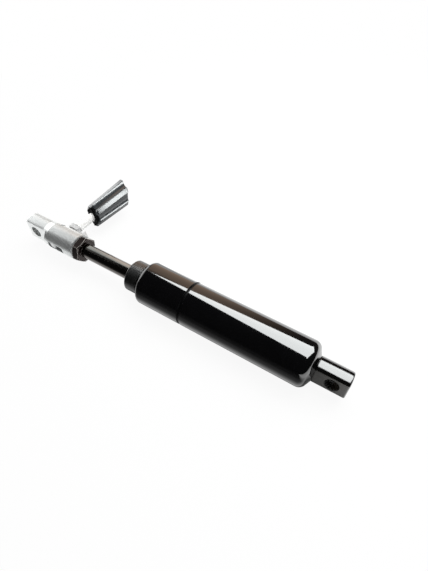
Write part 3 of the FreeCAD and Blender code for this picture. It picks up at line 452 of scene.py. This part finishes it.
def floor_finish():
    """White table. The camera sees white with a faint shadow, which fades out further off. Gloss
    sees a painted glow instead of the lit table: it falls off towards the front, has a painted
    shadow under the spring, is bright past the eye's end, and is paler beside the head."""
    material, tree, place = new_finish("white_table")
    camera, gloss = ray_kinds(tree)
    spot = add(tree, "ShaderNodeSeparateXYZ", {"Vector": place}).outputs
    front, back = -0.24, 0.16
    depth = add(tree, "ShaderNodeMapRange", {"Value": spot["Y"], "From Min": front, "From Max": back})
    ramp = add(tree, "ShaderNodeValToRGB", {"Fac": depth.outputs["Result"]})
    # Shares of the way from front to back, and the grey of the painted glow that gloss sees there;
    # the dark stretch from 0.57 to 0.63 is a painted shadow under the spring.
    stops = ((0.0, 0.01), (0.45, 0.04), (0.53, 0.16), (0.55, 0.45), (0.565, 0.5), (0.57, 0.08),
             (0.63, 0.08), (0.645, 0.8), (0.7, 0.85), (1.0, 1.0))
    while len(ramp.color_ramp.elements) < len(stops):
        ramp.color_ramp.elements.new(0.5)
    for stop, (share, grey) in zip(ramp.color_ramp.elements, stops):
        stop.position = share
        stop.color = (grey, grey, grey, 1)
    beyond = add(tree, "ShaderNodeMapRange", {"Value": spot["X"], "From Min": 0.0, "From Max": 0.03})
    right = add(tree, "ShaderNodeMix", {"Factor": beyond.outputs["Result"],
                                        "A": ramp.outputs["Color"],
                                        "B": (1.5, 1.5, 1.5, 1)}, data_type="RGBA")
    left = add(tree, "ShaderNodeMapRange", {"Value": spot["X"], "From Min": -0.138,
                                            "From Max": -0.15})
    near = add(tree, "ShaderNodeMapRange", {"Value": spot["Y"], "From Min": -0.04,
                                            "From Max": -0.03})
    aside = add(tree, "ShaderNodeMath", {0: left.outputs["Result"], 1: near.outputs["Result"]},
                operation="MULTIPLY")
    pale = add(tree, "ShaderNodeMapRange", {"Value": spot["X"], "From Min": -0.19,
                                            "From Max": -0.215, "To Min": 0.45, "To Max": 0.68})
    lit = add(tree, "ShaderNodeMix", {"Factor": aside.outputs["Value"], "A": right.outputs["Result"],
                                      "B": pale.outputs["Result"]}, data_type="RGBA")
    # Painted light: for gloss rays the table glows with these painted greys instead of being lit.
    mirrored = add(tree, "ShaderNodeEmission", {"Color": lit.outputs["Result"], "Strength": 2.5})
    paper = add(tree, "ShaderNodeBsdfDiffuse", {"Color": linear("#f2f2f2")})
    glow = add(tree, "ShaderNodeEmission", {"Color": linear("#ffffff"), "Strength": 1.0})
    reach = add(tree, "ShaderNodeVectorMath", {0: place}, operation="LENGTH")
    white = add(tree, "ShaderNodeMapRange", {"Value": reach.outputs["Value"], "From Min": 0.2,
                                             "From Max": 0.5, "To Min": 0.92, "To Max": 1.0})
    seen = add(tree, "ShaderNodeMixShader", {0: white.outputs["Result"], 1: paper.outputs["BSDF"],
                                             2: glow.outputs["Emission"]})
    first = add(tree, "ShaderNodeMixShader", {0: camera, 1: paper.outputs["BSDF"],
                                              2: seen.outputs["Shader"]})
    last = add(tree, "ShaderNodeMixShader", {0: gloss, 1: first.outputs["Shader"],
                                             2: mirrored.outputs["Emission"]})
    add(tree, "ShaderNodeOutputMaterial", {"Surface": last.outputs["Shader"]})
    return material


def lay_floor():
    """Plain pale floor under the tube."""
    sheet = bmesh.new()
    bmesh.ops.create_grid(sheet, x_segments=1, y_segments=1, size=4.0)
    bmesh.ops.translate(sheet, verts=sheet.verts, vec=(0, 0, FLOOR_HEIGHT))
    table = make_piece("table", sheet, floor_finish())


def light_room():
    """The room: white to the camera, an even dim fill for matt surfaces, and for gloss a dark room
    with a warm wall behind the spring, a pale ceiling over the head and a window on the left."""
    world = bpy.data.worlds.new("room")
    bpy.context.scene.world = world
    world.use_nodes = True
    tree = world.node_tree
    tree.nodes.clear()
    camera, gloss = ray_kinds(tree)
    way = add(tree, "ShaderNodeTexCoord").outputs["Generated"]
    parts = add(tree, "ShaderNodeSeparateXYZ", {"Vector": way})
    wall = (("Y", 0.25, 0.6), ("Z", 0.95, 0.85))
    lit_wall = wall + (("X", -0.06, -0.4), ("X", -0.63, -0.55))
    ceiling = (("X", -0.57, -0.64), ("Y", -0.35, -0.1))
    window = (("X", -0.7, -0.78), ("Y", -0.35, -0.25), ("Y", 0.65, 0.55), ("Z", 0.7, 0.6))
    # Each patch's light and its edges: the axis, where it is still dark and where it is bright.
    patches = (
        ((0.07, 0.05, 0.045, 1), wall),
        ((1.7, 1.25, 0.95, 1), lit_wall),
        ((0.72, 0.73, 0.73, 1), ceiling),
        ((4.5, 4.5, 4.5, 1), window),
    )
    colour = (0.015, 0.015, 0.015, 1)
    for light, edges in patches:
        share = 1.0
        for axis, dark, bright in edges:
            edge = add(tree, "ShaderNodeMapRange", {
                "Value": parts.outputs[axis], "From Min": dark, "From Max": bright},
                interpolation_type="SMOOTHSTEP")
            share = add(tree, "ShaderNodeMath", {0: share, 1: edge.outputs["Result"]},
                        operation="MULTIPLY").outputs["Value"]
        colour = add(tree, "ShaderNodeMix", {"Factor": share, "A": colour, "B": light},
                     data_type="RGBA").outputs["Result"]
    mirrored = add(tree, "ShaderNodeBackground", {"Color": colour, "Strength": 1.0})
    fill = add(tree, "ShaderNodeBackground", {"Color": (1, 1, 1, 1), "Strength": 0.35})
    white = add(tree, "ShaderNodeBackground", {"Color": (1, 1, 1, 1), "Strength": 1.0})
    first = add(tree, "ShaderNodeMixShader", {0: gloss, 1: fill.outputs["Background"],
                                              2: mirrored.outputs["Background"]})
    last = add(tree, "ShaderNodeMixShader", {0: camera, 1: first.outputs["Shader"],
                                             2: white.outputs["Background"]})
    add(tree, "ShaderNodeOutputWorld", {"Surface": last.outputs["Shader"]})


def hang_panel(name, place, size, light, pieces):
    """A lit panel that only the gloss of some pieces mirrors, and that casts no shadow."""
    sheet = bmesh.new()
    bmesh.ops.create_grid(sheet, x_segments=1, y_segments=1, size=0.5)
    bmesh.ops.scale(sheet, verts=sheet.verts, vec=(*size, 1))
    bmesh.ops.transform(sheet, verts=sheet.verts, matrix=place)
    material, tree, _ = new_finish(name)
    glow = add(tree, "ShaderNodeEmission", {"Color": light, "Strength": 1.0})
    clear = add(tree, "ShaderNodeBsdfTransparent")
    both = add(tree, "ShaderNodeAddShader", {0: glow.outputs["Emission"], 1: clear.outputs["BSDF"]})
    add(tree, "ShaderNodeOutputMaterial", {"Surface": both.outputs["Shader"]})
    panel = make_piece(name, sheet, material)
    panel.visible_camera = False
    panel.visible_diffuse = False
    panel.visible_shadow = False
    lit = bpy.data.collections.new(name + "_pieces")
    for piece in pieces:
        lit.objects.link(piece)
    panel.light_linking.receiver_collection = lit


def light_softbox(grip):
    """One large softbox above and behind the spring, its corner to the left. A lamp of its size
    lights matt surfaces at a plain level. Its bright cloth is a panel that only the painted pieces
    mirror, because metal would burn out under it, and the grip and the rod, which lie off to the
    side, have cards of their own."""
    place = Matrix.Translation((0.03, 0.364, 0.6)) @ Matrix.Rotation(-0.663, 4, "Z")
    data = bpy.data.lights.new("softbox_lamp", "AREA")
    data.shape = "RECTANGLE"
    data.size = SOFTBOX_WIDTH
    data.size_y = SOFTBOX_LENGTH
    data.energy = 6.5
    lamp = bpy.data.objects.new("softbox_lamp", data)
    lamp.matrix_world = place
    lamp.visible_glossy = False
    bpy.context.scene.collection.objects.link(lamp)
    painted = [nodes["pressure_tube"], nodes["rear_eye"], nodes["front_guide"]]
    hang_panel("softbox_cloth", place, (SOFTBOX_WIDTH, SOFTBOX_LENGTH), (18.0, 18.5, 18.5, 1),
               painted)
    # Each card's place, what it faces, its size, its light and the piece that mirrors it.
    cards = (
        ("grip_card", (0.051, 0.246, 0.24), (-0.197, 0.045, 0.0), (0.42, 0.14),
         (19.0, 19.6, 19.6, 1), grip),
        ("rod_card", (-0.425, 0.319, 0.272), (-0.15, 0.0, 0.005), (0.6, 0.42),
         (1.6, 1.85, 1.9, 1), nodes["piston_rod"]),
    )
    for name, spot, aim, size, light, piece in cards:
        facing = (Vector(aim) - Vector(spot)).to_track_quat("Z", "Y").to_matrix().to_4x4()
        hang_panel(name, Matrix.Translation(spot) @ facing, size, light, [piece])


def aim_camera():
    """Camera at the photograph's viewing angle: close above the tube's front, with a short lens."""
    right = Vector((0.84934, 0.52784, 0.0))
    up = Vector((-0.40910, 0.65828, 0.63190))
    back = Vector((0.33354, -0.53670, 0.77505))
    data = bpy.data.cameras.new("photo_camera")
    data.sensor_width = 36.0
    data.lens = 24.98
    data.clip_start = 0.01
    camera = bpy.data.objects.new("photo_camera", data)
    turn = Matrix((right, up, back)).transposed().to_4x4()
    camera.matrix_world = Matrix.Translation((-0.00437, -0.11412, 0.1932)) @ turn
    bpy.context.scene.collection.objects.link(camera)
    bpy.context.scene.camera = camera


dress_nodes()
grip = fluted_grip()
lay_floor()
light_room()
light_softbox(grip)
aim_camera()
bpy.context.scene.view_settings.view_transform = "Standard"
